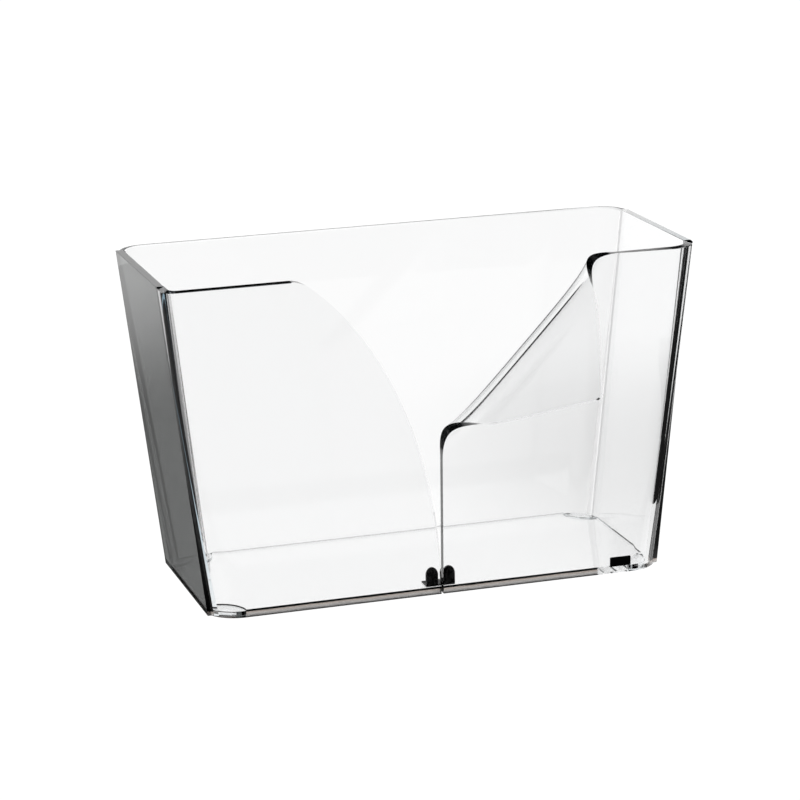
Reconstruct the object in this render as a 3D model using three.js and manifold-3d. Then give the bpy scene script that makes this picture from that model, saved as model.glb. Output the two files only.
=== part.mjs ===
// Clear acrylic magazine rack: a tapered open bin whose front is two magazine pages.
// The left page has a long curved edge. The right page has its upper corner rolled forward
// and down, like a turned page. Millimetres, +X right, +Z up, the pages face -Y.

import * as THREE from 'three';
import { mergeVertices } from 'three/addons/utils/BufferGeometryUtils.js';
import Module from 'manifold-3d';

const wasm = await Module();
wasm.setup();

// Driving dimensions
const SHEET = 6;                       // thickness of every acrylic sheet
const GAP = 0.3;                       // cement line between touching pieces
const WALL_HEIGHT = 256;               // walls, from their lower edge to the rim
const TOP = { width: 420, depth: 180, corner: 25 };      // outside of the rim
const BASE = { width: 363, depth: 160, corner: 26 };     // outside of the walls' lower edge
const TIGHT_CORNER = 12;               // the front left bend tightens to this at the rim
const JOINT = 66;                      // the end walls reach this far to the front and back
const REAR_LEFT_JOINT = 73;            // and this far at the left end's back edge

const SLIT = 1.6;                      // gap where the two pages meet
const PAGE_CURVE = { across: 181, up: 280 };             // semi-axes of the left page's edge
const SHOULDER_RADIUS = 22;            // left page, where the curve meets the rim
const PAGE_CORNER_RADIUS = 5;          // right page's turned corner

const FOLD_ANGLE = THREE.MathUtils.degToRad(46.6);       // fold line, from horizontal
const FOLD_START = 72;                 // distance of the fold from the page's lower left corner
const ROLL_RADIUS = 13;                // middle of the sheet, along the fold
const FLARE_RADIUS = 40;               // the same, where the fold runs out at an edge
const FLARE_SHIFT = 3.5;               // how far the fold line moves there
const FLARE_LENGTH = 13.6;             // how fast the flare dies away
const FLAP_REACH = 0.9;                // depth of the flap against the corner it came from
const FLAP_SLANT = 0.074;              // how far it slides up the fold, against the same corner

const FLOOR_THICKNESS = 5;
const FOOT = { radius: 21.5, height: 4, proud: 1 };        // quarter rounds in the floor's corners
const CLIP = {
  halfWidth: 11.6, slot: 1.9, top: 15.2, wing: 2.2, depth: 13, base: 1.2, stemRadius: 2.5, stemX: -3.5,
};
const LABEL = { width: 17, height: 7.6, thickness: 0.8, x: 145, z: 9.5 };

const ARC_STEPS = 8;                   // facets round a bent corner
const FOLD_STEP = 5;                   // facet size across the fold

// Cross-section of the bin at a height: half sizes, and the outer radius of one corner
const share = (from, to, v) => from + (to - from) * v;
const halfWidth = (z) => share(BASE.width, TOP.width, z / WALL_HEIGHT) / 2;
const halfDepth = (z) => share(BASE.depth, TOP.depth, z / WALL_HEIGHT) / 2;

const jointDepth = ([sideX, sideY]) => (sideX < 0 && sideY > 0 ? REAR_LEFT_JOINT : JOINT);

function cornerRadius([sideX, sideY], z) {
  const atRim = sideX < 0 && sideY < 0 ? TIGHT_CORNER : TOP.corner;
  return share(BASE.corner, atRim, z / WALL_HEIGHT);
}

// A point on a bent corner: turn is 0 at the end wall and PI / 2 at the page or back
function cornerPoint([sideX, sideY], turn, z, inset) {
  const radius = cornerRadius([sideX, sideY], z);
  return new THREE.Vector3(
    sideX * (halfWidth(z) - radius + (radius - inset) * Math.cos(turn)),
    sideY * (halfDepth(z) - radius + (radius - inset) * Math.sin(turn)),
    z,
  );
}

// A point part of the way along a bent sheet, from its joint with the end wall to the flat
function bendPoint(corner, part, z, inset) {
  const bend = cornerRadius(corner, z);
  const radius = bend - inset;
  const past = jointDepth(corner) + GAP - (halfDepth(z) - bend);
  const straight = Math.max(-past, 0);
  const firstTurn = Math.asin(Math.max(past, 0) / radius);
  const travel = part * (straight + radius * (Math.PI / 2 - firstTurn));
  const turn = firstTurn + Math.max(travel - straight, 0) / radius;
  const point = cornerPoint(corner, turn, z, inset);
  point.y -= corner[1] * Math.max(straight - travel, 0);
  return point;
}

function facePoint(sideY, x, z, inset) {
  return new THREE.Vector3(x, sideY * (halfDepth(z) - inset), z);
}

// A closed geometry from a grid of points on the sheet's two faces, point(row, column, face)
function sheetGeometry(rows, columns, point) {
  const positions = [];
  const index = [];
  for (let face = 0; face < 2; face++) {
    for (let row = 0; row < rows; row++) {
      for (let column = 0; column < columns; column++) {
        positions.push(...point(row, column, face).toArray());
      }
    }
  }
  const at = (row, column, face) => (face * rows + row) * columns + column;
  const quad = (a, b, c, d) => index.push(a, b, c, a, c, d);
  for (let row = 0; row < rows - 1; row++) {
    for (let column = 0; column < columns - 1; column++) {
      const corners = [[row, column], [row, column + 1], [row + 1, column + 1], [row + 1, column]];
      const [a, b, c, d] = corners.map(([i, j]) => at(i, j, 0));
      const [e, f, g, h] = corners.map(([i, j]) => at(i, j, 1));
      quad(a, b, c, d);
      index.push(e, g, f, e, h, g);
    }
  }
  for (let column = 0; column < columns - 1; column++) {
    const last = rows - 1;
    quad(at(0, column, 0), at(0, column, 1), at(0, column + 1, 1), at(0, column + 1, 0));
    quad(at(last, column, 0), at(last, column + 1, 0), at(last, column + 1, 1), at(last, column, 1));
  }
  for (let row = 0; row < rows - 1; row++) {
    const last = columns - 1;
    quad(at(row, 0, 0), at(row + 1, 0, 0), at(row + 1, 0, 1), at(row, 0, 1));
    quad(at(row, last, 0), at(row, last, 1), at(row + 1, last, 1), at(row + 1, last, 0));
  }
  return facingOut(geometryFrom(positions, index));
}

function geometryFrom(positions, index) {
  const geometry = new THREE.BufferGeometry();
  geometry.setAttribute('position', new THREE.Float32BufferAttribute(positions, 3));
  geometry.setIndex(index);
  return geometry;
}

// Turns the triangles round when the volume comes out negative
function facingOut(geometry) {
  const p = geometry.attributes.position;
  const index = geometry.index.array;
  const [a, b, c] = [0, 1, 2].map(() => new THREE.Vector3());
  let volume = 0;
  for (let i = 0; i < index.length; i += 3) {
    a.fromBufferAttribute(p, index[i]);
    b.fromBufferAttribute(p, index[i + 1]);
    c.fromBufferAttribute(p, index[i + 2]);
    volume += a.dot(b.cross(c));
  }
  if (volume < 0) {
    for (let i = 0; i < index.length; i += 3) {
      [index[i + 1], index[i + 2]] = [index[i + 2], index[i + 1]];
    }
  }
  return geometry;
}

// Booleans
function solid(geometry) {
  const bare = geometry.clone();
  bare.deleteAttribute('normal');
  bare.deleteAttribute('uv');
  const merged = mergeVertices(bare, 1e-4);
  return new wasm.Manifold(new wasm.Mesh({
    numProp: 3,
    vertProperties: new Float32Array(merged.attributes.position.array),
    triVerts: new Uint32Array(merged.index.array),
  }));
}

function geometryOf(manifold) {
  const mesh = manifold.getMesh();
  return geometryFrom(mesh.vertProperties, Array.from(mesh.triVerts));
}

// End walls: flat panels between the bent corners
function endWall(side) {
  return sheetGeometry(2, 2, (row, column, face) => {
    const z = row * WALL_HEIGHT;
    const end = column * 2 - 1;
    return new THREE.Vector3(side * (halfWidth(z) - face * SHEET), end * jointDepth([side, end]), z);
  });
}

// Back wall: one sheet with both of its corners bent forward
function backWall() {
  const columns = 2 * (ARC_STEPS + 1);
  return sheetGeometry(2, columns, (row, column, face) => {
    const side = column <= ARC_STEPS ? -1 : 1;
    const step = side < 0 ? column : columns - 1 - column;
    return bendPoint([side, 1], step / ARC_STEPS, row * WALL_HEIGHT, face * SHEET);
  });
}

// Left page's free edge: a quarter ellipse, rounded off where it meets the rim
function pageCurve(z) {
  return -SLIT / 2 - PAGE_CURVE.across * (1 - Math.sqrt(1 - (z / PAGE_CURVE.up) ** 2));
}

// Centre of the shoulder circle that touches the curve from inside at a height
function shoulderCentre(z) {
  const slope = -PAGE_CURVE.across * z / PAGE_CURVE.up ** 2 / Math.sqrt(1 - (z / PAGE_CURVE.up) ** 2);
  const length = Math.hypot(1, slope);
  return {
    x: pageCurve(z) - SHOULDER_RADIUS / length,
    z: z + SHOULDER_RADIUS * slope / length,
    turn: Math.atan2(-slope, 1),
  };
}

// Heights and free-edge positions of the left page's rows
function leftPageRows() {
  let low = 0;
  let high = WALL_HEIGHT;
  for (let i = 0; i < 40; i++) {
    const middle = (low + high) / 2;
    if (shoulderCentre(middle).z < WALL_HEIGHT - SHOULDER_RADIUS) low = middle;
    else high = middle;
  }
  const centre = shoulderCentre(low);
  const rows = [];
  const curveRows = 18;
  for (let i = 0; i <= curveRows; i++) {
    const z = low * i / curveRows;
    rows.push({ z, edge: pageCurve(z) });
  }
  const shoulderRows = 6;
  for (let i = 1; i <= shoulderRows; i++) {
    const turn = share(centre.turn, Math.PI / 2, i / shoulderRows);
    rows.push({
      z: centre.z + SHOULDER_RADIUS * Math.sin(turn),
      edge: centre.x + SHOULDER_RADIUS * Math.cos(turn),
    });
  }
  return rows;
}

function leftPage() {
  const rows = leftPageRows();
  const flatColumns = 6;
  return sheetGeometry(rows.length, ARC_STEPS + flatColumns + 1, (row, column, face) => {
    const { z, edge } = rows[row];
    if (column <= ARC_STEPS) return bendPoint([-1, -1], column / ARC_STEPS, z, face * SHEET);
    const flatStart = cornerRadius([-1, -1], z) - halfWidth(z);
    const x = share(flatStart, edge, (column - ARC_STEPS) / flatColumns);
    return facePoint(-1, x, z, face * SHEET);
  });
}

// Right page: drawn flat, then rolled forward about the slanting fold line
const foldCos = Math.cos(FOLD_ANGLE);
const foldSin = Math.sin(FOLD_ANGLE);
const pageEdge = SLIT / 2;
const foldFoot = pageEdge / foldCos + FOLD_START * Math.tan(FOLD_ANGLE);
const foldHead = (WALL_HEIGHT - FOLD_START * foldCos) / foldSin;

// face is 0 on the side that ends up outside the roll and 1 on the side inside it
function rolled(x, z, face) {
  const across = foldCos * z - foldSin * x;
  const along = foldCos * x + foldSin * z;
  const fade = Math.exp((foldFoot - along) / FLARE_LENGTH) + Math.exp((along - foldHead) / FLARE_LENGTH);
  const flare = Math.min(fade, 2);
  const radius = share(ROLL_RADIUS, FLARE_RADIUS, flare);
  const start = FOLD_START + FLARE_SHIFT * flare;
  const offset = (0.5 - face) * SHEET;
  let reach = across;
  let slide = 0;
  let forward = -offset;
  if (across > start) {
    const turn = Math.min((across - start) / radius, Math.PI);
    const beyond = Math.max(across - start - Math.PI * radius, 0);
    reach = start + (radius + offset) * Math.sin(turn) - FLAP_REACH * beyond;
    slide = FLAP_SLANT * beyond;
    forward = radius - (radius + offset) * Math.cos(turn);
  }
  const px = foldCos * (along + slide) - foldSin * reach;
  const pz = foldSin * (along + slide) + foldCos * reach;
  return new THREE.Vector3(px, SHEET / 2 - halfDepth(pz) - forward, pz);
}

function rightPage() {
  const foldTop = (foldCos * WALL_HEIGHT - FOLD_START) / foldSin;
  const foldBottom = FOLD_START / foldCos;
  const heights = [0, foldBottom / 2];
  for (let z = foldBottom - FOLD_STEP; z < WALL_HEIGHT - PAGE_CORNER_RADIUS - 1; z += FOLD_STEP) heights.push(z);
  const rows = heights.map((z) => ({ z, edge: pageEdge }));
  const cornerRows = 4;
  for (let i = 0; i <= cornerRows; i++) {
    const turn = i / cornerRows * Math.PI / 2;
    rows.push({
      z: WALL_HEIGHT - PAGE_CORNER_RADIUS * (1 - Math.sin(turn)),
      edge: pageEdge + PAGE_CORNER_RADIUS * (1 - Math.cos(turn)),
    });
  }
  const foldColumns = Math.ceil((foldTop + FOLD_STEP) / FOLD_STEP);
  const foldWidth = foldColumns * FOLD_STEP;
  const columns = foldColumns + ARC_STEPS + 2;
  return sheetGeometry(rows.length, columns, (row, column, face) => {
    const { z, edge } = rows[row];
    if (column <= foldColumns) return rolled(share(edge, foldWidth, column / foldColumns), z, face);
    return bendPoint([1, -1], (columns - 1 - column) / ARC_STEPS, z, (1 - face) * SHEET);
  });
}

// A plate that fills the bin between two heights
function innerPlate(from, to) {
  const around = [];
  for (const [sideX, sideY, first] of [[1, 1, 0], [-1, 1, 1], [-1, -1, 0], [1, -1, 1]]) {
    for (let i = 0; i <= ARC_STEPS; i++) {
      around.push({ corner: [sideX, sideY], turn: Math.PI / 2 * Math.abs(first - i / ARC_STEPS) });
    }
  }
  const points = [from, to].flatMap((z) => around.map(
    ({ corner, turn }) => cornerPoint(corner, turn, z, SHEET + GAP),
  ));
  const centres = [new THREE.Vector3(0, 0, from), new THREE.Vector3(0, 0, to)];
  const positions = [...points, ...centres].flatMap((point) => point.toArray());
  const index = [];
  const count = around.length;
  for (let i = 0; i < count; i++) {
    const next = (i + 1) % count;
    index.push(i, next, count + next, i, count + next, count + i);
    index.push(2 * count, next, i, 2 * count + 1, count + i, count + next);
  }
  return solid(facingOut(geometryFrom(positions, index)));
}

// An upright round disc between two heights
function disc(radius, from, to, x, y) {
  const geometry = new THREE.CylinderGeometry(radius, radius, to - from, 48);
  geometry.rotateX(Math.PI / 2);
  geometry.translate(x, y, (from + to) / 2);
  return solid(geometry);
}

const cornerSigns = [[-1, -1], [1, -1], [-1, 1], [1, 1]];

// A disc centred where the two inner faces of a corner would meet
function cornerDisc([sideX, sideY], radius) {
  const x = sideX * (BASE.width / 2 - SHEET);
  const y = sideY * (BASE.depth / 2 - SHEET);
  return disc(radius, -WALL_HEIGHT, WALL_HEIGHT, x, y);
}

// Floor: fills the bottom of the bin, with a round notch in each corner and the clip's stem hole
function floorPlate() {
  const stemHole = disc(CLIP.stemRadius + GAP, -1, FLOOR_THICKNESS + 1, CLIP.stemX, clipY + CLIP.depth / 2);
  const notches = cornerSigns.map((corner) => cornerDisc(corner, FOOT.radius + GAP));
  const plate = innerPlate(0, FLOOR_THICKNESS);
  return geometryOf([...notches, stemHole].reduce((rest, hole) => rest.subtract(hole), plate));
}

// A foot: the quarter round that fills a notch and stands a little proud underneath
function foot(corner) {
  const pad = innerPlate(-FOOT.proud, FOOT.height);
  return geometryOf(pad.intersect(cornerDisc(corner, FOOT.radius)));
}

// Clip: two rounded wings behind the pages' feet, a thin base and a stem through the floor
const clipY = -(BASE.depth / 2 - SHEET) + GAP + 0.2;

function clipWing(side) {
  const { halfWidth, slot, top } = CLIP;
  const outline = new THREE.Shape();
  outline.moveTo(side * slot, 0);
  outline.lineTo(side * halfWidth, 0);
  outline.lineTo(side * halfWidth, top - 4);
  outline.bezierCurveTo(side * halfWidth, top, side * 7.6, top + 1, side * 5.2, top - 2.6);
  outline.quadraticCurveTo(side * 3.2, top - 6, side * slot, top - 6.6);
  const geometry = new THREE.ExtrudeGeometry(outline, { depth: CLIP.wing, bevelEnabled: false, curveSegments: 8 });
  geometry.rotateX(Math.PI / 2);
  geometry.translate(0, clipY + CLIP.wing, FLOOR_THICKNESS + GAP);
  return facingOut(mergeVertices(stripped(geometry), 1e-4));
}

function stripped(geometry) {
  geometry.deleteAttribute('normal');
  geometry.deleteAttribute('uv');
  return geometry;
}

function pageClip() {
  const base = new THREE.BoxGeometry(2 * CLIP.halfWidth, CLIP.depth, CLIP.base);
  const baseZ = FLOOR_THICKNESS + GAP + CLIP.base / 2;
  base.translate(0, clipY + CLIP.depth / 2, baseZ);
  const stem = disc(CLIP.stemRadius, GAP, baseZ, CLIP.stemX, clipY + CLIP.depth / 2);
  const wings = [clipWing(-1), clipWing(1)].map(solid);
  return geometryOf([...wings, stem].reduce((all, piece) => all.add(piece), solid(base)));
}

// The object
const acrylic = { color: 0xf2f6f6, roughness: 0.05, metalness: 0, transparent: true, opacity: 0.35 };
const materials = {
  clear: new THREE.MeshStandardMaterial(acrylic),
  smoke: new THREE.MeshStandardMaterial({ ...acrylic, color: 0x6f7673, opacity: 0.6 }),
  black: new THREE.MeshStandardMaterial({ color: 0x121214, roughness: 0.35, metalness: 0 }),
  pad: new THREE.MeshStandardMaterial({ ...acrylic, color: 0xe6eaea, roughness: 0.3, opacity: 0.5 }),
};

const rack = new THREE.Group();

function add(name, geometry, material) {
  const mesh = new THREE.Mesh(geometry, material);
  mesh.name = name;
  rack.add(mesh);
  return mesh;
}

add('floor_plate', floorPlate(), materials.clear);
add('back_wall', backWall(), materials.clear);
add('left_end_wall', endWall(-1), materials.smoke);
add('right_end_wall', endWall(1), materials.clear);
add('left_page', leftPage(), materials.clear);
add('right_page', rightPage(), materials.clear);
add('page_clip', pageClip(), materials.black);

const lean = Math.atan2((TOP.depth - BASE.depth) / 2, WALL_HEIGHT);
const labelGeometry = new THREE.BoxGeometry(LABEL.width, LABEL.thickness, LABEL.height);
const label = add('label_plate', labelGeometry, materials.black);
const labelFace = facePoint(-1, LABEL.x, LABEL.z, -GAP - LABEL.thickness / 2);
label.position.copy(labelFace);
label.rotation.x = lean;

cornerSigns.forEach((corner) => {
  const [sideX, sideY] = corner;
  const name = `foot_${sideY < 0 ? 'front' : 'back'}_${sideX < 0 ? 'left' : 'right'}`;
  add(name, foot(corner), materials.pad);
});

// Origin: bottom centre of the bounding box
const box = new THREE.Box3().setFromObject(rack, true);
rack.position.set(-(box.min.x + box.max.x) / 2, -(box.min.y + box.max.y) / 2, -box.min.z);

export default rack;
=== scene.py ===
"""Clear acrylic magazine rack: a tapered open bin whose front is two page-shaped sheets.

Sizes are in millimetres, measured from the middle of the bin's lower edge: +X right, +Z up, the pages
face -Y. Where that point is in the row frame comes from the CAD's end walls and back wall.
"""

import math

import bmesh
import bpy
from mathutils import Matrix, Vector
from mathutils.geometry import tessellate_polygon


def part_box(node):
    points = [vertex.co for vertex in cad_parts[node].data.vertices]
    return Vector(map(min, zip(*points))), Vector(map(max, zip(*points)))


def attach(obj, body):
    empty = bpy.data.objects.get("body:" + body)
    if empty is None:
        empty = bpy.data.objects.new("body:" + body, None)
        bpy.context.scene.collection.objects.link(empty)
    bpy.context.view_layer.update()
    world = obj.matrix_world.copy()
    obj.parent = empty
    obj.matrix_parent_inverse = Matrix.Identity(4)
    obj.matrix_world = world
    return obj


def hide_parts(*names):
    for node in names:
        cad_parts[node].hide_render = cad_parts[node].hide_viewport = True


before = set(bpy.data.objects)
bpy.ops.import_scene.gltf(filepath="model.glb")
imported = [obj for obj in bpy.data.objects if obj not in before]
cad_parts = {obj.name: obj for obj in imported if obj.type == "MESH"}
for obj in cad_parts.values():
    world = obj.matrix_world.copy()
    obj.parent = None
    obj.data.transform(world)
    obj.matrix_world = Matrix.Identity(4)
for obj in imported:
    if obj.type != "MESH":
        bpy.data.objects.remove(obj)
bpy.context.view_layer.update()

MM = 0.001

# Sizes of the bin
SHEET = 6.0                            # thickness of every acrylic sheet
GAP = 0.3                              # cement line between touching pieces
TOP_WIDTH, TOP_DEPTH, TOP_CORNER = 420.0, 180.0, 25.0
BASE_WIDTH, BASE_DEPTH, BASE_CORNER = 363.0, 160.0, 26.0
WALL_HEIGHT = 256.0
TIGHT_CORNER = 12.0                    # the front left bend tightens to this at the rim
JOINT = 66.0                           # the end walls reach this far to the front and back
REAR_LEFT_JOINT = 73.0                 # and this far at the left end's back edge
EDGE_ROUND = 0.4                       # polished edges are slightly rounded
RIM_ROUND = 2.4                        # the back wall's rim is rounder
RIM_SLOPE = math.tan(math.radians(7))  # the pages' rims fall towards the front
RIM_FADE = 20.0                        # that slope starts this far from the fold
SAME_HEIGHT = EDGE_ROUND / 10          # vertices this close to the rim's height are on it
RIM_ROW = RIM_ROUND / 100              # and so are rows this close to it

# The two pages
SLIT = 1.6
CURVE_ACROSS, CURVE_UP = 181.0, 280.0  # semi-axes of the left page's free edge
SHOULDER_RADIUS = 22.0
PAGE_CORNER_RADIUS = 5.0

# The turned corner
FOLD_ANGLE = math.radians(46.6)        # fold line, from horizontal
FOLD_START = 72.0                      # from the page's lower left corner
ROLL_RADIUS = 13.0                     # middle of the sheet
FLARE_RADIUS = 40.0                    # the same, where the fold meets an edge of the page
FLARE_SHIFT = 3.5                      # the roll starts this much later there
FLARE_LENGTH = 13.6                    # the flare dies away over this length of the fold
FLARE_LIMIT = 2.0                      # and grows to this many times its size past the edge
FLAP_REACH = 0.9                       # share of its own width that the flat flap comes down
FLAP_SLANT = 0.074                     # share of its width that it slides up along the fold
FOLD_MARGIN = 5.0                      # the fine columns go on this far past the fold's top

# Small parts
FLOOR_THICKNESS = 5.0
PAINTED_SHADE_END = 128.0                  # painted shade: the floor's joint with the pages is coloured dark from the left to here
NEAR_WALL = 1.0                        # outline points this close to a wall belong to it
FOOT_RADIUS, FOOT_HEIGHT, FOOT_PROUD = 21.5, 4.0, 1.0
CLIP_HALF_WIDTH, CLIP_SLOT, CLIP_TOP = 11.6, 1.9, 15.2
CLIP_WING, CLIP_DEPTH, CLIP_BASE = 2.2, 13.0, 1.2
CLIP_CROWN = 6.0                       # height of the rounded top of a wing
CLIP_ROOM = 0.2                        # between the clip and the leaning pages, besides the gap
STEM_RADIUS, STEM_X = 2.5, -3.5
LABEL_WIDTH, LABEL_HEIGHT, LABEL_THICKNESS = 17.0, 7.6, 0.8
LABEL_X, LABEL_Z = 145.0, 9.5
LABEL_CORNER = 0.8
LABEL_ROUND = 0.2

# Materials
ACRYLIC_INDEX, PLASTIC_INDEX = 1.49, 1.5
CLEAR_TINT = (0.40, 0.56, 0.64)
# near-black tint that paints shade into the left end panel
PAINTED_SHADE_TINT = (0.0, 0.03, 0.02)
RIPPLE_SCALE, RIPPLE_HEIGHT = 9.0, 0.4
GRAIN_SCALE, GRAIN_HEIGHT = 1800.0, 0.1
BLACK_COLOUR = (0.012, 0.012, 0.013, 1)
CLOUD_SCALE = 60.0
PAINTED_JOINT_GLOW = 0.45                    # painted light: the glow that the clouded joint gives off, though it is no lamp
STREAK_SCALE = 45.0
PAINTED_BAND_HEIGHT = 6.5                    # height in the row frame where the painted bands of shade and light end
PAINTED_BAND_WAVER = 0.6                     # how far the bands wander up and down
# painted shade on the joint face: colour at its foot and above the bands
PAINTED_SHADE_FOOT = (0.02, 0.015, 0.012, 1)
PAINTED_SHADE_TOP = (0.004, 0.005, 0.006, 1)
PAINTED_BANDS = (                       # share of that height, and colour: painted shade, with a pale band of painted light
    (0.18, (0.10, 0.08, 0.07, 1)),
    (0.28, (1.0, 0.97, 0.95, 1)),
    (0.45, (1.0, 0.94, 0.90, 1)),
    (0.64, (0.90, 0.78, 0.70, 1)),
    (0.74, (0.006, 0.007, 0.008, 1)),
)

# Mesh fineness
ARC_STEPS = 24
SHARP_ANGLE = math.radians(40)
FLAT_ANGLE = math.radians(1)           # faces closer to flat than this are joined
FOLD_STEP = 1.6
BEVEL_STEPS = 4
CURVE_STEPS = 70
SHOULDER_STEPS = 16
PAGE_CORNER_STEPS = 6
FLAT_COLUMNS = 2
NOTCH_STEPS = 20
FOOT_BEND_STEPS = 12
STEM_STEPS = 24
CROWN_STEPS = 20
LABEL_CORNER_STEPS = 5
HALVINGS = 40                          # of the range in which the shoulder's height is searched

# Camera
CAMERA_PLACE = Vector((-676.0, -2194.1, 738.7))
CAMERA_TURN = math.radians(16.98)      # looks along +Y, turned towards +X
CAMERA_TILT = math.radians(14.76)      # below the horizon
CAMERA_ROLL = math.radians(-1.36)
CAMERA_LENS, SENSOR_WIDTH = 137.36, 36.0
CAMERA_FAR = 50.0                      # metres

# Light, as linear brightness, where 1 shows as white
LIGHT_BOUNCES = 16
TABLE_WHITE = 1.06                     # what the camera sees round the rack
PANEL_WHITE = 1.03                     # the lit table and backdrop, and a straight look through the acrylic
ROOM_DARK = 0.012                      # behind the rack, above the backdrop
NO_REFLECTION = 0.5                    # a count of reflections below this is none
LEFT_TONES = (0.24, 0.82)              # unlit table on the left, beside the rack and further back
RIGHT_TONES = (0.01, 0.50)             # the same on the right
UNLIT_FALLOFF = (450.0, 1020.0)        # depths between which that changes
BACKDROP_SIDES = (0.25, 0.7)           # share of a direction that points back, where the backdrop comes in
BACKDROP_TOP = (0.33, 0.39)            # sine of the elevation where the backdrop ends
PANEL_FRONT = ((-200, -66), (150, -74), (260, -130))     # near edge of the light panel
PANEL_REACH = 4000.0
TABLE_REACH = 1.5 * PANEL_REACH
TABLE_LEVEL, PANEL_LEVEL = -0.5, -0.3  # heights of the cards, each above the one it covers
UNLIT_LEVEL, SHADOW_LEVEL = -0.1, -0.05
UNLIT_LEFT = ((-182, -130), (-182, 85), (-285, 1020))
CONTACT_SHADOW = ((-184.5, -140), (-181.6, -140), (-181.6, 110), (-184.5, 110))
SHADOW_TONE = 0.01
DIM_CENTRE = (420, 150)                # a dimmer part of the panel, off the rack's right end
DIM_RADII = (80, 390)
DIM_STRETCH = 0.7                      # its width against its length
DIM_TONE = 0.79
FRONT_TONE = 0.30                      # the table in front of the rack
FRONT_TABLE = ((-600, -1400), (1200, -1400), (1200, -180), (-600, -180))
OVERHEAD = (0.70, 0.90)                # sine of the elevation where the overhead light comes in
UNLIT_RIGHT = ((300, -130), (300, 20), (2700, 2600))


def row_frame_origin():
    """The bin's own origin, in millimetres in the row frame, from the CAD walls."""
    left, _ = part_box("left_end_wall")
    _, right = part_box("right_end_wall")
    low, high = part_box("back_wall")
    return Vector((
        (left[0] + right[0]) / 2 / MM,
        high[1] / MM - TOP_DEPTH / 2,
        low[2] / MM,
    ))


ORIGIN = row_frame_origin()


def place(point):
    """A point of the bin, in millimetres, as a vertex in the row frame, in metres."""
    return (Vector(point) + ORIGIN) * MM


def share(start, end, part):
    """The value part of the way from start to end."""
    return start + (end - start) * part


def half_width(z):
    return share(BASE_WIDTH, TOP_WIDTH, z / WALL_HEIGHT) / 2


def half_depth(z):
    return share(BASE_DEPTH, TOP_DEPTH, z / WALL_HEIGHT) / 2


def corner_radius(corner, z):
    at_rim = TIGHT_CORNER if corner == (-1, -1) else TOP_CORNER
    return share(BASE_CORNER, at_rim, z / WALL_HEIGHT)


def joint_depth(corner):
    """How far the end wall reaches towards a corner, from the middle."""
    return REAR_LEFT_JOINT if corner == (-1, 1) else JOINT


def bend_point(corner, part, z, inset):
    """A point part of the way along a bent sheet, from its joint with the end wall to the flat."""
    side_x, side_y = corner
    bend = corner_radius(corner, z)
    radius = bend - inset
    past = joint_depth(corner) + GAP - (half_depth(z) - bend)
    straight = max(-past, 0)
    first_turn = math.asin(max(past, 0) / radius)
    travel = part * (straight + radius * (math.pi / 2 - first_turn))
    turn = first_turn + max(travel - straight, 0) / radius
    x = half_width(z) - bend + radius * math.cos(turn)
    y = half_depth(z) - bend + radius * math.sin(turn) - max(straight - travel, 0)
    return Vector((side_x * x, side_y * y, z))


def rim_drop(z, outward, bend=0):
    """How far a page's top row lies below the rim's inner edge.

    outward is 0 at the inner face and 1 at the outer, bend is 1 where the corner starts."""
    return outward * SHEET * RIM_SLOPE * (1 + bend) if z > WALL_HEIGHT - RIM_ROW else 0


# Meshes

def finish_piece(mesh_builder, name, node, material, edge=EDGE_ROUND, rim=EDGE_ROUND):
    """Makes the object of a bmesh, with outward faces and rounded edges, and ties it to the frame."""
    bmesh.ops.recalc_face_normals(mesh_builder, faces=mesh_builder.faces)
    widest = max(edge, rim)
    rim_height = place((0, 0, WALL_HEIGHT)).z - SAME_HEIGHT * MM
    weight = mesh_builder.edges.layers.float.new("bevel_weight_edge")
    for line in mesh_builder.edges:
        cemented_edge = any(face.material_index for face in line.link_faces)
        if line.calc_face_angle(0) > SHARP_ANGLE and not cemented_edge:
            at_rim = all(corner.co.z > rim_height for corner in line.verts)
            line[weight] = (rim if at_rim else edge) / widest
    mesh = bpy.data.meshes.new(name)
    mesh_builder.to_mesh(mesh)
    mesh_builder.free()
    mesh.materials.append(material)
    if material in (CLEAR, PAINTED_SHADE_ACRYLIC):
        for cement in CEMENTS:
            mesh.materials.append(cement)
    mesh.shade_smooth()
    mesh.set_sharp_from_angle(angle=SHARP_ANGLE)
    piece = bpy.data.objects.new(name, mesh)
    bpy.context.collection.objects.link(piece)
    bevel = piece.modifiers.new("polished edges", "BEVEL")
    bevel.width = widest * MM
    bevel.segments = BEVEL_STEPS
    bevel.limit_method = "WEIGHT"
    bevel.harden_normals = True
    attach(piece, "root")
    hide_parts(node)
    return piece


def sheet_mesh(rows, columns, point, joints):
    """A closed sheet from a grid of points on its two faces: point(row, column, face).

    joints gives the cement on the edge face of the first and the last column."""
    builder = bmesh.new()
    grids = []
    for face in (0, 1):
        grids.append([
            [builder.verts.new(place(point(row, column, face))) for column in range(columns)]
            for row in range(rows)
        ])
    front, back = grids
    for row in range(rows - 1):
        for column in range(columns - 1):
            for grid in grids:
                builder.faces.new((
                    grid[row][column],
                    grid[row][column + 1],
                    grid[row + 1][column + 1],
                    grid[row + 1][column],
                ))
    for row in (0, rows - 1):
        for column in range(columns - 1):
            builder.faces.new((
                front[row][column],
                front[row][column + 1],
                back[row][column + 1],
                back[row][column],
            ))
    for cement, column in zip(joints, (0, columns - 1)):
        for row in range(rows - 1):
            face = builder.faces.new((
                front[row][column],
                front[row + 1][column],
                back[row + 1][column],
                back[row][column],
            ))
            face.material_index = cement
    return builder


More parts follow.
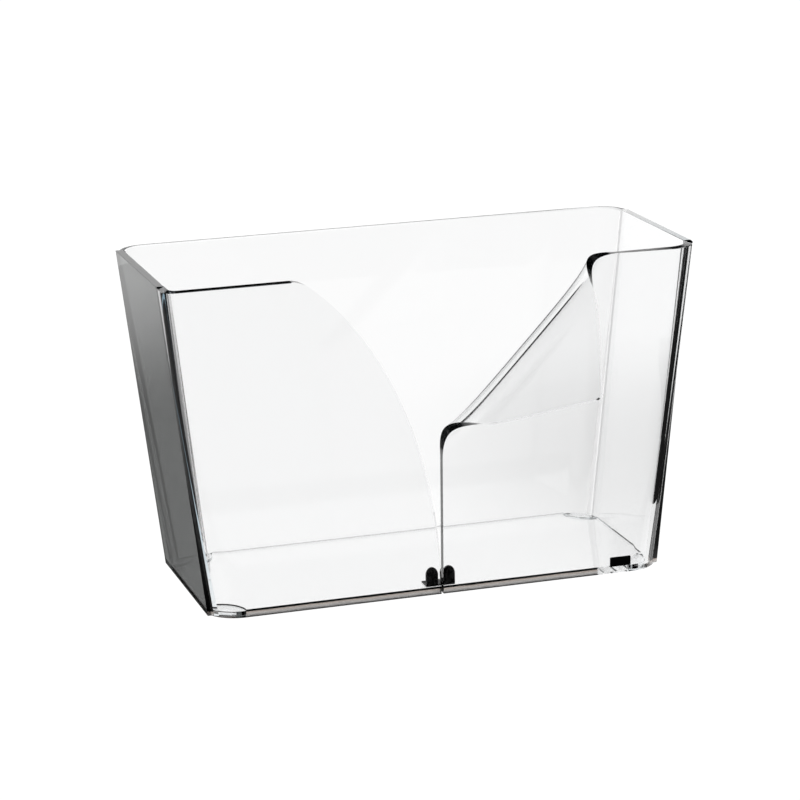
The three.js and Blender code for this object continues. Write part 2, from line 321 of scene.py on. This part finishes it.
def prism_mesh(outlines, lower, upper, cement=lambda middle: NO_CEMENT):
    """A closed plate from an outline and its holes. lower and upper turn an outline point into a 3-D one.

    cement gives what is on the side face at the middle of one of the outline's steps."""
    builder = bmesh.new()
    rings = []
    for outline in outlines:
        bottom = [builder.verts.new(place(lower(p))) for p in outline]
        top = [builder.verts.new(place(upper(p))) for p in outline]
        rings.append((bottom, top))
        for i in range(len(outline)):
            j = (i + 1) % len(outline)
            side = builder.faces.new((bottom[i], bottom[j], top[j], top[i]))
            side.material_index = cement((Vector(outline[i]) + Vector(outline[j])) / 2)
    flat = [[Vector((p[0], p[1], 0)) for p in outline] for outline in outlines]
    bottoms = [v for bottom, _ in rings for v in bottom]
    tops = [v for _, top in rings for v in top]
    for corners in tessellate_polygon(flat):
        builder.faces.new([bottoms[i] for i in corners])
        builder.faces.new([tops[i] for i in reversed(corners)])
    bmesh.ops.dissolve_limit(
        builder,
        angle_limit=FLAT_ANGLE,
        verts=[],
        edges=[e for e in builder.edges if e.calc_face_angle(1) < FLAT_ANGLE],
    )
    return builder


def arc(centre, radius, start, end, steps):
    """Points on an arc, angles in degrees, both ends included."""
    angles = [math.radians(share(start, end, i / steps)) for i in range(steps + 1)]
    return [(centre[0] + radius * math.cos(a), centre[1] + radius * math.sin(a)) for a in angles]


# Materials

def node_material(name):
    material = bpy.data.materials.new(name)
    material.use_nodes = True
    nodes = material.node_tree.nodes
    shader = next(n for n in nodes if n.type == "BSDF_PRINCIPLED")
    return material, nodes, material.node_tree.links, shader


def acrylic(name, tint, density, ripple):
    """Polished cast acrylic: clear, slightly absorbing, with a barely uneven surface."""
    material, nodes, links, shader = node_material(name)
    shader.inputs["Base Color"].default_value = (1, 1, 1, 1)
    shader.inputs["Roughness"].default_value = 0.0
    shader.inputs["IOR"].default_value = ACRYLIC_INDEX
    shader.inputs["Transmission Weight"].default_value = 1.0
    place_in_sheet = nodes.new("ShaderNodeTexCoord")
    waves = nodes.new("ShaderNodeTexNoise")
    waves.inputs["Scale"].default_value = RIPPLE_SCALE
    waves.inputs["Detail"].default_value = 1.0
    unevenness = nodes.new("ShaderNodeBump")
    unevenness.inputs["Strength"].default_value = ripple
    unevenness.inputs["Distance"].default_value = RIPPLE_HEIGHT * MM
    links.new(place_in_sheet.outputs["Object"], waves.inputs["Vector"])
    links.new(waves.outputs["Fac"], unevenness.inputs["Height"])
    links.new(unevenness.outputs["Normal"], shader.inputs["Normal"])
    absorption = nodes.new("ShaderNodeVolumeAbsorption")
    absorption.inputs["Color"].default_value = (*tint, 1)
    absorption.inputs["Density"].default_value = density
    output = next(n for n in nodes if n.type == "OUTPUT_MATERIAL")
    links.new(absorption.outputs["Volume"], output.inputs["Volume"])
    return material


def clear_cement():
    """A sheet's edge face where the cement is clear and light runs through."""
    material, _, _, shader = node_material("clear cement")
    shader.inputs["Alpha"].default_value = 0.0
    return material


def clouded_cement_painted_glow():
    """A joint where the cement has set white, with a painted glow standing in for the light that runs along
    the sheet.
    """
    material, nodes, links, shader = node_material("clouded cement, painted glow")
    shader.inputs["Roughness"].default_value = 0.6
    shader.inputs["Emission Color"].default_value = (1, 1, 1, 1)
    # painted light: the joint face glows
    shader.inputs["Emission Strength"].default_value = PAINTED_JOINT_GLOW
    spot = nodes.new("ShaderNodeTexCoord")
    clouds = nodes.new("ShaderNodeTexNoise")
    clouds.inputs["Scale"].default_value = CLOUD_SCALE
    tone = nodes.new("ShaderNodeMapRange")
    tone.inputs["To Min"].default_value = 0.8
    tone.inputs["To Max"].default_value = 0.95
    links.new(spot.outputs["Object"], clouds.inputs["Vector"])
    links.new(clouds.outputs["Fac"], tone.inputs["Value"])
    links.new(tone.outputs["Result"], shader.inputs["Base Color"])
    return material


def cement_painted_shade_and_light():
    """A joint face coloured black as painted shade, with a pale grey-beige band of painted light low down.
    """
    material, nodes, links, shader = node_material("cement, painted shade and light")
    shader.inputs["Roughness"].default_value = 0.35
    spot = nodes.new("ShaderNodeTexCoord")
    split = nodes.new("ShaderNodeSeparateXYZ")
    streaks = nodes.new("ShaderNodeTexNoise")
    streaks.inputs["Scale"].default_value = STREAK_SCALE
    uneven = nodes.new("ShaderNodeMath")
    uneven.operation = "MULTIPLY_ADD"
    uneven.inputs[1].default_value = PAINTED_BAND_WAVER * MM
    height = nodes.new("ShaderNodeMapRange")
    height.inputs["From Max"].default_value = PAINTED_BAND_HEIGHT * MM
    bands = nodes.new("ShaderNodeValToRGB")
    stops = bands.color_ramp.elements
    stops[0].position = 0.0
    stops[0].color = PAINTED_SHADE_FOOT
    stops[1].position = 1.0
    stops[1].color = PAINTED_SHADE_TOP
    for position, colour in PAINTED_BANDS:
        stops.new(position).color = colour
    links.new(spot.outputs["Object"], split.inputs["Vector"])
    links.new(spot.outputs["Object"], streaks.inputs["Vector"])
    links.new(streaks.outputs["Fac"], uneven.inputs[0])
    links.new(split.outputs["Z"], uneven.inputs[2])
    links.new(uneven.outputs["Value"], height.inputs["Value"])
    links.new(height.outputs["Result"], bands.inputs["Fac"])
    links.new(bands.outputs["Color"], shader.inputs["Base Color"])
    return material


def black_plastic():
    """Moulded black plastic with a fine satin texture."""
    material, nodes, links, shader = node_material("black plastic")
    shader.inputs["Base Color"].default_value = BLACK_COLOUR
    shader.inputs["IOR"].default_value = PLASTIC_INDEX
    place_on_part = nodes.new("ShaderNodeTexCoord")
    grain = nodes.new("ShaderNodeTexNoise")
    grain.inputs["Scale"].default_value = GRAIN_SCALE
    grain.inputs["Detail"].default_value = 3.0
    texture = nodes.new("ShaderNodeBump")
    texture.inputs["Strength"].default_value = 0.25
    texture.inputs["Distance"].default_value = GRAIN_HEIGHT * MM
    gloss = nodes.new("ShaderNodeMapRange")
    gloss.inputs["To Min"].default_value = 0.28
    gloss.inputs["To Max"].default_value = 0.42
    links.new(place_on_part.outputs["Object"], grain.inputs["Vector"])
    links.new(grain.outputs["Fac"], texture.inputs["Height"])
    links.new(grain.outputs["Fac"], gloss.inputs["Value"])
    links.new(gloss.outputs["Result"], shader.inputs["Roughness"])
    links.new(texture.outputs["Normal"], shader.inputs["Normal"])
    return material


CLEAR = acrylic("clear acrylic", CLEAR_TINT, density=1.8, ripple=0.05)
# almost black acrylic for the left end panel: painted shade
PAINTED_SHADE_ACRYLIC = acrylic("painted shade acrylic", PAINTED_SHADE_TINT, density=240.0, ripple=0.05)
FOOT = acrylic("foot plastic", CLEAR_TINT, density=8.0, ripple=0.3)
BLACK = black_plastic()
NO_CEMENT, CLEAR_CEMENT, CLOUDED_GLOWING_CEMENT, PAINTED_SHADE_CEMENT = range(4)
CEMENTS = (clear_cement(), clouded_cement_painted_glow(), cement_painted_shade_and_light())


# Pieces

def end_wall(side):
    """The flat panel at one end, cemented to the floor and to both bent sheets."""
    def point(row, column, face):
        z = row * WALL_HEIGHT
        end = column * 2 - 1
        return Vector((side * (half_width(z) - face * SHEET), end * joint_depth((side, end)), z))

    node = "left_end_wall" if side < 0 else "right_end_wall"
    # the left end panel gets the almost black acrylic, painted shade
    material = PAINTED_SHADE_ACRYLIC if side < 0 else CLEAR
    # painted shade on the end walls' dark joints
    # the right end's back joint gets the painted glow
    joints = (PAINTED_SHADE_CEMENT, PAINTED_SHADE_CEMENT) if side < 0 else (PAINTED_SHADE_CEMENT, CLOUDED_GLOWING_CEMENT)
    mesh = sheet_mesh(2, 2, point, joints)
    name = "end_panel_" + ("left" if side < 0 else "right")
    finish_piece(mesh, name, node, material)


def back_wall():
    """The back sheet, bent forward at both ends."""
    columns = 2 * (ARC_STEPS + 1)

    def point(row, column, face):
        z = row * WALL_HEIGHT
        side = -1 if column <= ARC_STEPS else 1
        step = column if side < 0 else columns - 1 - column
        return bend_point((side, 1), step / ARC_STEPS, z, face * SHEET)

    # the right joint gets the painted glow
    mesh = sheet_mesh(2, columns, point, (CLEAR_CEMENT, CLOUDED_GLOWING_CEMENT))
    finish_piece(mesh, "back_panel", "back_wall", CLEAR, rim=RIM_ROUND)


def page_curve(z):
    """Left page's free edge: a quarter ellipse that starts at the foot of the slit."""
    return -SLIT / 2 - CURVE_ACROSS * (1 - math.sqrt(1 - (z / CURVE_UP) ** 2))


def shoulder_circle(z):
    """Centre and turn of the shoulder circle that touches the page's curve at a height."""
    slope = -CURVE_ACROSS * z / CURVE_UP ** 2 / math.sqrt(1 - (z / CURVE_UP) ** 2)
    length = math.hypot(1, slope)
    return (
        page_curve(z) - SHOULDER_RADIUS / length,
        z + SHOULDER_RADIUS * slope / length,
        math.atan2(-slope, 1),
    )


def left_page_rows():
    """(height, free edge) pairs from the foot of the left page to its rim."""
    low, high = 0.0, WALL_HEIGHT
    for _ in range(HALVINGS):
        middle = (low + high) / 2
        if shoulder_circle(middle)[1] < WALL_HEIGHT - SHOULDER_RADIUS:
            low = middle
        else:
            high = middle
    centre_x, centre_z, first_turn = shoulder_circle(low)
    curve_heights = [low * i / CURVE_STEPS for i in range(CURVE_STEPS + 1)]
    rows = [(z, page_curve(z)) for z in curve_heights]
    for i in range(1, SHOULDER_STEPS + 1):
        turn = share(first_turn, math.pi / 2, i / SHOULDER_STEPS)
        rows.append((
            centre_z + SHOULDER_RADIUS * math.sin(turn),
            centre_x + SHOULDER_RADIUS * math.cos(turn),
        ))
    return rows


def left_page():
    """The left page: bent back at its outer end, its free edge cut to the curve."""
    rows = left_page_rows()

    def point(row, column, face):
        z, edge = rows[row]
        part = min(column / ARC_STEPS, 1)
        z -= rim_drop(z, 1 - face, 1 - part)
        if column <= ARC_STEPS:
            return bend_point((-1, -1), part, z, face * SHEET)
        flat_start = corner_radius((-1, -1), z) - half_width(z)
        x = share(flat_start, edge, (column - ARC_STEPS) / FLAT_COLUMNS)
        return Vector((x, face * SHEET - half_depth(z), z))

    mesh = sheet_mesh(len(rows), ARC_STEPS + FLAT_COLUMNS + 1, point, (CLEAR_CEMENT, NO_CEMENT))
    finish_piece(mesh, "page_left", "left_page", CLEAR)


def rolled(x, z, face):
    """A point drawn on the flat right page, after its corner is rolled forward about the fold line."""
    cos_fold, sin_fold = math.cos(FOLD_ANGLE), math.sin(FOLD_ANGLE)
    across = cos_fold * z - sin_fold * x
    along = cos_fold * x + sin_fold * z
    foot = SLIT / 2 / cos_fold + FOLD_START * math.tan(FOLD_ANGLE)
    head = (WALL_HEIGHT - FOLD_START * cos_fold) / sin_fold
    at_foot = math.exp((foot - along) / FLARE_LENGTH)
    at_head = math.exp((along - head) / FLARE_LENGTH)
    flare = min(at_foot + at_head, FLARE_LIMIT)
    radius = share(ROLL_RADIUS, FLARE_RADIUS, flare)
    start = FOLD_START + FLARE_SHIFT * flare
    offset = (0.5 - face) * SHEET
    reach = across
    slide = 0.0
    forward = -offset
    if across > start:
        turn = min((across - start) / radius, math.pi)
        beyond = max(across - start - math.pi * radius, 0)
        reach = start + (radius + offset) * math.sin(turn) - FLAP_REACH * beyond
        slide = FLAP_SLANT * beyond
        forward = radius - (radius + offset) * math.cos(turn)
    px = cos_fold * (along + slide) - sin_fold * reach
    pz = sin_fold * (along + slide) + cos_fold * reach
    return Vector((px, SHEET / 2 - half_depth(pz) - forward, pz))


def right_page():
    """The right page: bent back at its outer end, its upper free corner rolled forward."""
    fold_top = (math.cos(FOLD_ANGLE) * WALL_HEIGHT - FOLD_START) / math.sin(FOLD_ANGLE)
    fold_bottom = FOLD_START / math.cos(FOLD_ANGLE)
    heights = [0.0, fold_bottom / 2]
    rolled_rows = round((WALL_HEIGHT - PAGE_CORNER_RADIUS - fold_bottom) / FOLD_STEP)
    for i in range(rolled_rows):
        heights.append(share(fold_bottom - FOLD_STEP, WALL_HEIGHT - PAGE_CORNER_RADIUS, i / rolled_rows))
    rows = [(z, SLIT / 2) for z in heights]
    for i in range(PAGE_CORNER_STEPS + 1):
        turn = i / PAGE_CORNER_STEPS * math.pi / 2
        rows.append((
            WALL_HEIGHT - PAGE_CORNER_RADIUS * (1 - math.sin(turn)),
            SLIT / 2 + PAGE_CORNER_RADIUS * (1 - math.cos(turn)),
        ))
    fold_columns = math.ceil((fold_top + FOLD_MARGIN) / FOLD_STEP)
    fold_width = fold_columns * FOLD_STEP
    columns = (fold_columns + 1) + (ARC_STEPS + 1)

    def point(row, column, face):
        z, edge = rows[row]
        part = min((columns - 1 - column) / ARC_STEPS, 1)
        if column <= fold_columns:
            x = share(edge, fold_width, column / fold_columns)
            to_fold = FOLD_START - math.cos(FOLD_ANGLE) * z + math.sin(FOLD_ANGLE) * x
            flat = max(0, min(1, to_fold / RIM_FADE))
            return rolled(x, z - rim_drop(z, face) * flat, face)
        z -= rim_drop(z, face, 1 - part)
        return bend_point((1, -1), part, z, (1 - face) * SHEET)

    # the bend's end joint is coloured dark, painted shade
    mesh = sheet_mesh(len(rows), columns, point, (NO_CEMENT, PAINTED_SHADE_CEMENT))
    finish_piece(mesh, "page_right", "right_page", CLEAR)


NOTCH_X = BASE_WIDTH / 2 - SHEET
NOTCH_Y = BASE_DEPTH / 2 - SHEET


def leaning(z):
    """Turns an outline point on the bin's inside at z = 0 into the point at height z."""
    grow_x = half_width(z) - half_width(0)
    grow_y = half_depth(z) - half_depth(0)

    def at(p):
        x = p[0] + math.copysign(grow_x if abs(p[0]) > NOTCH_X - NEAR_WALL else 0, p[0])
        y = p[1] + math.copysign(grow_y if abs(p[1]) > NOTCH_Y - NEAR_WALL else 0, p[1])
        return Vector((x, y, z))

    return at


def clip_y():
    """Where the clip's front face stands, just behind the pages."""
    return GAP + CLIP_ROOM - NOTCH_Y


def floor_plate():
    """The floor, with a notch for a foot in each corner and a hole for the clip's stem."""
    radius = FOOT_RADIUS + GAP
    edge_x, edge_y = NOTCH_X - GAP, NOTCH_Y - GAP
    slack = math.degrees(math.asin(GAP / radius))
    outline = []
    for quarter in range(4):
        side_x = 1 if quarter in (0, 3) else -1
        side_y = 1 if quarter in (0, 1) else -1
        first = (quarter * 90 + 270) % 360 - slack
        last = first - 90 + 2 * slack
        if quarter == 3:
            outline.append((PAINTED_SHADE_END, -edge_y))
        outline += arc((side_x * NOTCH_X, side_y * NOTCH_Y), radius, first, last, NOTCH_STEPS)
    outline = [(max(-edge_x, min(edge_x, x)), max(-edge_y, min(edge_y, y))) for x, y in outline]
    stem_middle = (STEM_X, clip_y() + CLIP_DEPTH / 2)
    hole = arc(stem_middle, STEM_RADIUS + GAP, 360, 360 / STEM_STEPS, STEM_STEPS - 1)

    def cement(middle):
        from_corner = (middle + Vector((NOTCH_X, NOTCH_Y))).length
        outer = min(middle.x + edge_x, middle.y + edge_y, from_corner - radius) < NEAR_WALL
        # painted shade on the outer side faces left of its end
        return PAINTED_SHADE_CEMENT if outer and middle.x < PAINTED_SHADE_END else CLEAR_CEMENT

    mesh = prism_mesh([outline, hole], leaning(0), leaning(FLOOR_THICKNESS), cement)
    finish_piece(mesh, "floor_panel", "floor_plate", CLEAR)


def foot(side_x, side_y):
    """A quarter round in a corner of the floor, its outer corner following the bent sheet."""
    edge_x, edge_y = NOTCH_X - GAP, NOTCH_Y - GAP
    bend = BASE_CORNER - SHEET - GAP
    slack = math.degrees(math.asin(GAP / FOOT_RADIUS))
    outline = arc((edge_x - bend, edge_y - bend), bend, 0, 90, FOOT_BEND_STEPS)
    outline += arc((NOTCH_X, NOTCH_Y), FOOT_RADIUS, 180 + slack, 270 - slack, ARC_STEPS)
    outline = [(side_x * min(x, edge_x), side_y * min(y, edge_y)) for x, y in outline]
    mesh = prism_mesh([outline], leaning(-FOOT_PROUD), leaning(FOOT_HEIGHT))
    corner = ("front" if side_y < 0 else "back") + "_" + ("left" if side_x < 0 else "right")
    finish_piece(mesh, "pad_" + corner, "foot_" + corner, FOOT)


def page_clip():
    """Two rounded wings behind the pages, on a thin base with a stem down through the floor."""
    y = clip_y()
    z = FLOOR_THICKNESS + GAP
    builder = bmesh.new()

    def box(x0, x1, y0, y1, z0, z1):
        corners = []
        for corner_z in (z0, z1):
            for corner_y in (y0, y1):
                for corner_x in (x0, x1):
                    corners.append(builder.verts.new(place((corner_x, corner_y, corner_z))))
        sides = (
            (0, 1, 3, 2),
            (4, 6, 7, 5),
            (0, 4, 5, 1),
            (1, 5, 7, 3),
            (3, 7, 6, 2),
            (2, 6, 4, 0),
        )
        for side_corners in sides:
            builder.faces.new([corners[i] for i in side_corners])

    box(-CLIP_HALF_WIDTH, CLIP_HALF_WIDTH, y, y + CLIP_DEPTH, z, z + CLIP_BASE)
    for side in (-1, 1):
        width = CLIP_HALF_WIDTH - CLIP_SLOT
        crown = []
        for i in range(CROWN_STEPS + 1):
            turn = math.pi * i / CROWN_STEPS
            crown.append((
                CLIP_SLOT + width * 0.5 * (1 + math.cos(turn)),
                CLIP_TOP - CLIP_CROWN + CLIP_CROWN * math.sin(turn),
            ))
        outline = [(CLIP_HALF_WIDTH, 0.0)] + crown + [(CLIP_SLOT, 0.0)]
        front = [builder.verts.new(place((side * px, y, z + pz))) for px, pz in outline]
        back = [builder.verts.new(place((side * px, y + CLIP_WING, z + pz))) for px, pz in outline]
        builder.faces.new(front)
        builder.faces.new(list(reversed(back)))
        for i in range(len(outline)):
            j = (i + 1) % len(outline)
            builder.faces.new((front[i], back[i], back[j], front[j]))
    ring = arc((STEM_X, y + CLIP_DEPTH / 2), STEM_RADIUS, 0, 360 - 360 / STEM_STEPS, STEM_STEPS - 1)
    lower = [builder.verts.new(place((px, py, GAP))) for px, py in ring]
    upper = [builder.verts.new(place((px, py, z + CLIP_BASE / 2))) for px, py in ring]
    builder.faces.new(lower)
    builder.faces.new(list(reversed(upper)))
    for i in range(len(ring)):
        j = (i + 1) % len(ring)
        builder.faces.new((lower[i], lower[j], upper[j], upper[i]))
    finish_piece(builder, "clip", "page_clip", BLACK)


def label_plate():
    """A small blank plate on the outside of the right page, leaning with it."""
    lean = math.atan2((TOP_DEPTH - BASE_DEPTH) / 2, WALL_HEIGHT)
    along = Vector((0, -math.sin(lean), math.cos(lean)))
    outward = Vector((0, -math.cos(lean), -math.sin(lean)))
    middle = Vector((LABEL_X, -half_depth(LABEL_Z), LABEL_Z)) + outward * (GAP + LABEL_THICKNESS / 2)
    outline = []
    for quarter, (sx, sz) in enumerate(((1, 1), (-1, 1), (-1, -1), (1, -1))):
        centre = (sx * (LABEL_WIDTH / 2 - LABEL_CORNER), sz * (LABEL_HEIGHT / 2 - LABEL_CORNER))
        outline += arc(centre, LABEL_CORNER, quarter * 90, quarter * 90 + 90, LABEL_CORNER_STEPS)

    def face(distance):
        def at(p):
            return middle + Vector((p[0], 0, 0)) + along * p[1] + outward * distance
        return at

    mesh = prism_mesh([outline], face(-LABEL_THICKNESS / 2), face(LABEL_THICKNESS / 2))
    finish_piece(mesh, "label", "label_plate", BLACK, LABEL_ROUND, LABEL_ROUND)


# Studio

def card(name, corners, for_camera=False):
    """A flat glowing card, seen either by the camera alone or by everything but the camera.

    Its corners' heights are in the row frame. Returns its nodes, its links and the socket for its
    brightness."""
    builder = bmesh.new()
    to_row_frame = Vector((0, ORIGIN.y, 0))
    builder.faces.new([builder.verts.new((Vector(corner) + to_row_frame) * MM) for corner in corners])
    mesh = bpy.data.meshes.new(name)
    builder.to_mesh(mesh)
    builder.free()
    panel = bpy.data.objects.new(name, mesh)
    bpy.context.collection.objects.link(panel)
    panel.visible_camera = for_camera
    panel.visible_glossy = not for_camera
    panel.visible_transmission = not for_camera
    panel.visible_diffuse = not for_camera
    panel.visible_shadow = False
    material, nodes, links, shader = node_material(name)
    shader.inputs["Base Color"].default_value = (0, 0, 0, 1)
    shader.inputs["Specular IOR Level"].default_value = 0
    shader.inputs["Emission Color"].default_value = (1, 1, 1, 1)
    mesh.materials.append(material)
    return nodes, links, shader.inputs["Emission Strength"]


def fade(nodes, links, value, limits, tones, brightness):
    """Brightness that goes from one tone to the other as the value passes between the limits."""
    falloff = nodes.new("ShaderNodeMapRange")
    falloff.interpolation_type = "SMOOTHSTEP"
    falloff.inputs["From Min"].default_value = limits[0] * MM
    falloff.inputs["From Max"].default_value = limits[1] * MM
    falloff.inputs["To Min"].default_value = tones[0]
    falloff.inputs["To Max"].default_value = tones[1]
    links.new(value, falloff.inputs["Value"])
    links.new(falloff.outputs["Result"], brightness)


def clear_view(nodes, links, brightness):
    """Lets a look straight through the acrylic, with no reflection on its way, see the lit white.

    Returns the socket for the brightness that every other ray sees."""
    path = nodes.new("ShaderNodeLightPath")
    unreflected = nodes.new("ShaderNodeMath")
    unreflected.operation = "LESS_THAN"
    unreflected.inputs[1].default_value = NO_REFLECTION
    straight = nodes.new("ShaderNodeMath")
    straight.operation = "MULTIPLY"
    pick = nodes.new("ShaderNodeMix")
    pick.data_type = "FLOAT"
    pick.inputs["B"].default_value = PANEL_WHITE
    links.new(path.outputs["Glossy Depth"], unreflected.inputs[0])
    links.new(path.outputs["Is Transmission Ray"], straight.inputs[0])
    links.new(unreflected.outputs["Value"], straight.inputs[1])
    links.new(straight.outputs["Value"], pick.inputs["Factor"])
    links.new(pick.outputs["Result"], brightness)
    return pick.inputs["A"]


def table():
    """The white table top that the camera sees round the rack."""
    outline = [(x * TABLE_REACH, y * TABLE_REACH) for x, y in ((-1, -1), (1, -1), (1, 1), (-1, 1))]
    brightness = card("table", [(x, y, TABLE_LEVEL) for x, y in outline], for_camera=True)[2]
    brightness.default_value = TABLE_WHITE


def light_panel():
    """The lit part of the table, which the acrylic shows and mirrors, dimmer off the right end."""
    reach = PANEL_REACH
    near_edge = [(-reach, PANEL_FRONT[0][1]), *PANEL_FRONT, (reach, PANEL_FRONT[-1][1])]
    outline = near_edge + [(reach, reach), (-reach, reach)]
    nodes, links, brightness = card("light_panel", [(x, y, PANEL_LEVEL) for x, y in outline])
    spot = nodes.new("ShaderNodeTexCoord")
    apart = nodes.new("ShaderNodeVectorMath")
    apart.operation = "DISTANCE"
    apart.inputs[1].default_value = (DIM_CENTRE[0] * MM, DIM_CENTRE[1] * DIM_STRETCH * MM, 0)
    squeezed = nodes.new("ShaderNodeVectorMath")
    squeezed.operation = "MULTIPLY"
    squeezed.inputs[1].default_value = (1, DIM_STRETCH, 1)
    links.new(spot.outputs["Object"], squeezed.inputs[0])
    links.new(squeezed.outputs["Vector"], apart.inputs[0])
    fade(nodes, links, apart.outputs["Value"], DIM_RADII, (DIM_TONE, PANEL_WHITE), brightness)


def front_table():
    """The table in front, which the faces of the pages mirror."""
    nodes, links, brightness = card("front_table", [(x, y, PANEL_LEVEL) for x, y in FRONT_TABLE])
    clear_view(nodes, links, brightness).default_value = FRONT_TONE


def contact_shadow():
    """The dark line on the table along the foot of the left end panel."""
    brightness = card("contact_shadow", [(x, y, SHADOW_LEVEL) for x, y in CONTACT_SHADOW])[2]
    brightness.default_value = SHADOW_TONE


def unlit_table(side, inner_edge, tones):
    """The unlit table beside the panel, which the end panels and bent corners pick up."""
    edge = [(x, y, UNLIT_LEVEL) for x, y in inner_edge]
    outer = [(side * PANEL_REACH, inner_edge[i][1], UNLIT_LEVEL) for i in (-1, 0)]
    name = "unlit_table_" + ("left" if side < 0 else "right")
    nodes, links, brightness = card(name, edge + outer)
    spot = nodes.new("ShaderNodeTexCoord")
    split = nodes.new("ShaderNodeSeparateXYZ")
    links.new(spot.outputs["Object"], split.inputs["Vector"])
    fade(nodes, links, split.outputs["Y"], UNLIT_FALLOFF, tones, clear_view(nodes, links, brightness))


def studio_world():
    """A low white backdrop behind the table and light from overhead, the room dark between and in front.

    The camera, and a straight look through the acrylic, see white."""
    world = bpy.data.worlds.new("studio")
    bpy.context.scene.world = world
    world.use_nodes = True
    nodes, links = world.node_tree.nodes, world.node_tree.links
    background = next(n for n in nodes if n.type == "BACKGROUND")
    direction = nodes.new("ShaderNodeTexCoord")
    split = nodes.new("ShaderNodeSeparateXYZ")
    depth = nodes.new("ShaderNodeMapRange")
    depth.interpolation_type = "SMOOTHSTEP"
    depth.inputs["From Min"].default_value = BACKDROP_SIDES[0]
    depth.inputs["From Max"].default_value = BACKDROP_SIDES[1]
    height = nodes.new("ShaderNodeMapRange")
    height.interpolation_type = "SMOOTHSTEP"
    height.inputs["From Min"].default_value = BACKDROP_TOP[0]
    height.inputs["From Max"].default_value = BACKDROP_TOP[1]
    height.inputs["To Min"].default_value = PANEL_WHITE
    height.inputs["To Max"].default_value = ROOM_DARK
    lit = nodes.new("ShaderNodeMath")
    lit.operation = "MULTIPLY"
    camera_ray = nodes.new("ShaderNodeLightPath")
    pick = nodes.new("ShaderNodeMix")
    pick.data_type = "FLOAT"
    pick.inputs["B"].default_value = TABLE_WHITE
    links.new(direction.outputs["Generated"], split.inputs["Vector"])
    links.new(split.outputs["Y"], depth.inputs["Value"])
    links.new(split.outputs["Z"], height.inputs["Value"])
    links.new(depth.outputs["Result"], lit.inputs[0])
    links.new(height.outputs["Result"], lit.inputs[1])
    above = nodes.new("ShaderNodeMapRange")
    above.interpolation_type = "SMOOTHSTEP"
    above.inputs["From Min"].default_value = OVERHEAD[0]
    above.inputs["From Max"].default_value = OVERHEAD[1]
    either = nodes.new("ShaderNodeMath")
    either.operation = "MAXIMUM"
    links.new(split.outputs["Z"], above.inputs["Value"])
    links.new(lit.outputs["Value"], either.inputs[0])
    links.new(above.outputs["Result"], either.inputs[1])
    links.new(either.outputs["Value"], clear_view(nodes, links, pick.inputs["A"]))
    links.new(camera_ray.outputs["Is Camera Ray"], pick.inputs["Factor"])
    links.new(pick.outputs["Result"], background.inputs["Color"])


def camera():
    """The camera, standing in front of the rack, a little to the left and above."""
    forward = Vector((
        math.sin(CAMERA_TURN) * math.cos(CAMERA_TILT),
        math.cos(CAMERA_TURN) * math.cos(CAMERA_TILT),
        -math.sin(CAMERA_TILT),
    ))
    level = forward.cross(Vector((0, 0, 1))).normalized()
    up = level.cross(forward)
    right = level * math.cos(CAMERA_ROLL) + up * math.sin(CAMERA_ROLL)
    up = right.cross(forward)
    data = bpy.data.cameras.new("camera")
    data.sensor_width = SENSOR_WIDTH
    data.lens = CAMERA_LENS
    data.clip_end = CAMERA_FAR
    eye = bpy.data.objects.new("camera", data)
    bpy.context.collection.objects.link(eye)
    turn = Matrix((right, up, -forward)).transposed()
    eye.matrix_world = Matrix.Translation(place(CAMERA_PLACE)) @ turn.to_4x4()
    bpy.context.scene.camera = eye


floor_plate()
back_wall()
end_wall(-1)
end_wall(1)
left_page()
right_page()
page_clip()
label_plate()
for foot_x in (-1, 1):
    for foot_y in (-1, 1):
        foot(foot_x, foot_y)

table()
light_panel()
front_table()
contact_shadow()
unlit_table(-1, UNLIT_LEFT, LEFT_TONES)
unlit_table(1, UNLIT_RIGHT, RIGHT_TONES)
studio_world()
camera()
bpy.context.scene.view_settings.view_transform = "Standard"
bpy.context.scene.cycles.max_bounces = LIGHT_BOUNCES
bpy.context.scene.cycles.glossy_bounces = LIGHT_BOUNCES
bpy.context.scene.cycles.transmission_bounces = LIGHT_BOUNCES
